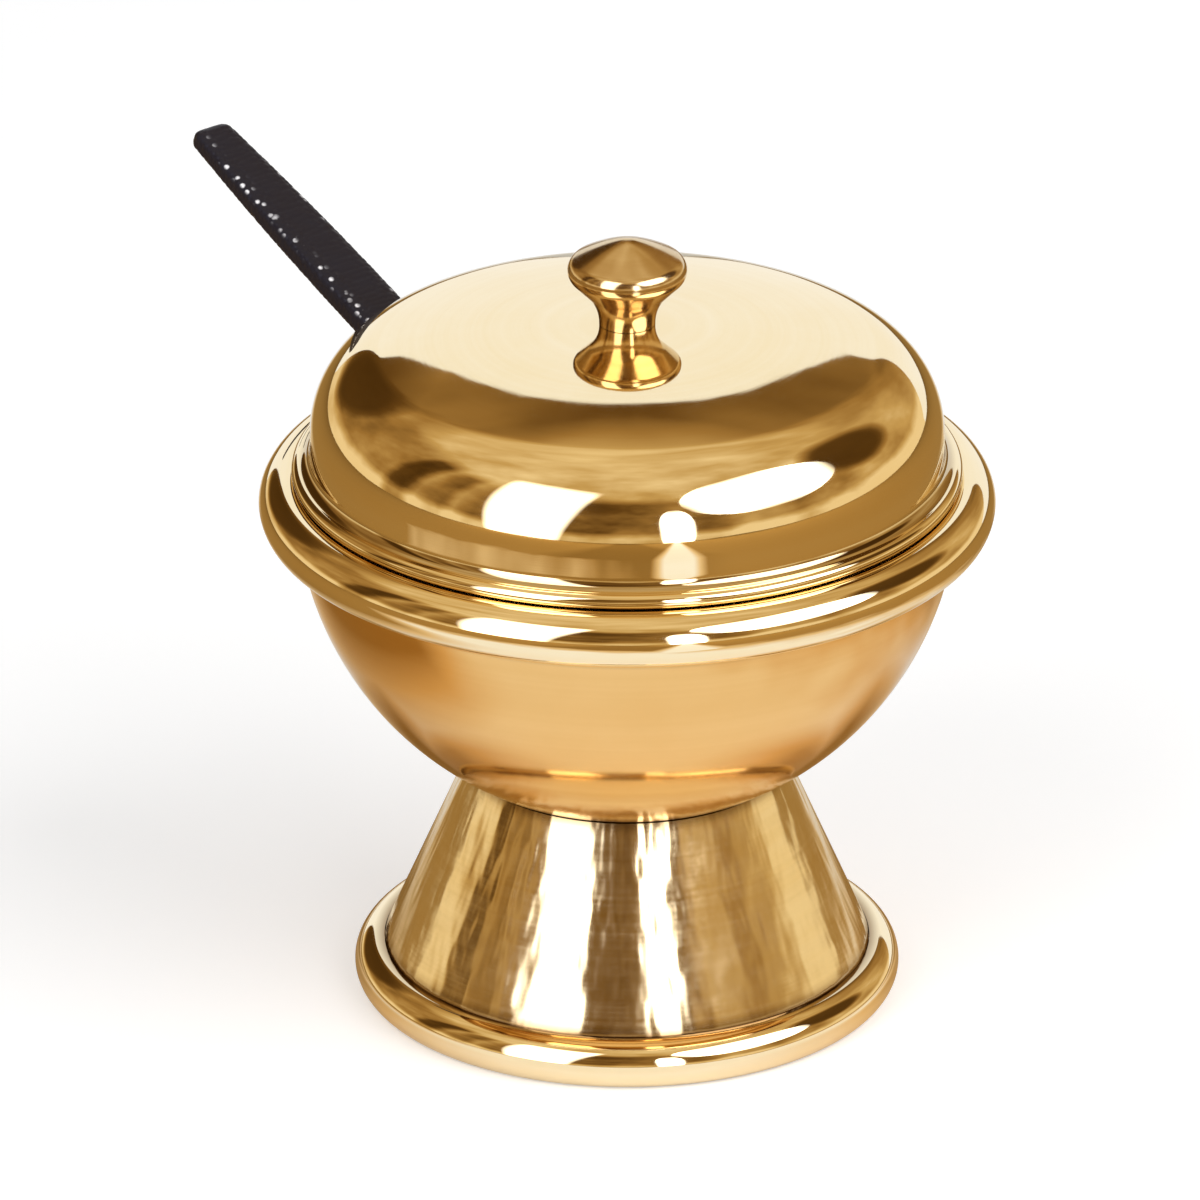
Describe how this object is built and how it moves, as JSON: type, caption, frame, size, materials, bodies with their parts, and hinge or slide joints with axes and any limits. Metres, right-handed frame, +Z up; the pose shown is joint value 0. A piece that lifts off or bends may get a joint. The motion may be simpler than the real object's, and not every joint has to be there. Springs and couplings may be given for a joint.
{
  "type": "incense boat",
  "caption": "Round footed brass pot for incense grains, with a domed lid, a turned knob and a black-handled spoon that lies in the bowl and leaves through a notch in the lid.",
  "frame": {"origin": "centre of the foot's flat underside, on the axis of the bowl, foot and lid", "axes": "+Z up along the bowl's axis; -Y faces the viewer of the picture, and the spoon leaves towards -X and +Y"},
  "size_m": [0.0836, 0.0927, 0.0834],
  "materials": {
    "polished_brass": "mirror polished",
    "satin_brass": "satin",
    "plain_brass": "plain turned",
    "black_grip": "pebbled"
  },
  "bodies": {
    "boat": {"foot_bead": "polished_brass", "foot_cone": "polished_brass", "foot_cup": "plain_brass", "bowl_shell": "satin_brass", "rim_bead": "polished_brass", "foot_screw": "plain_brass", "foot_washer": "plain_brass", "foot_nut": "plain_brass"},
    "lid": {"lid_shell": "polished_brass", "lid_bezel": "plain_brass", "lid_knob": "polished_brass", "knob_washer": "plain_brass", "knob_nut": "plain_brass"},
    "spoon": {"spoon_dish": "polished_brass", "spoon_shank": "polished_brass", "spoon_grip": "black_grip"}
  },
  "joints": [
    {"name": "lid_lift", "type": "slide", "parent": "boat", "child": "lid", "axis": [0, 0, 1], "range_m": [0, 0.08]},
    {"name": "spoon_draw", "type": "slide", "parent": "boat", "child": "spoon", "axis": [-0.5898, 0.7154, 0.3746], "range_m": [0, 0.042]}
  ]
}
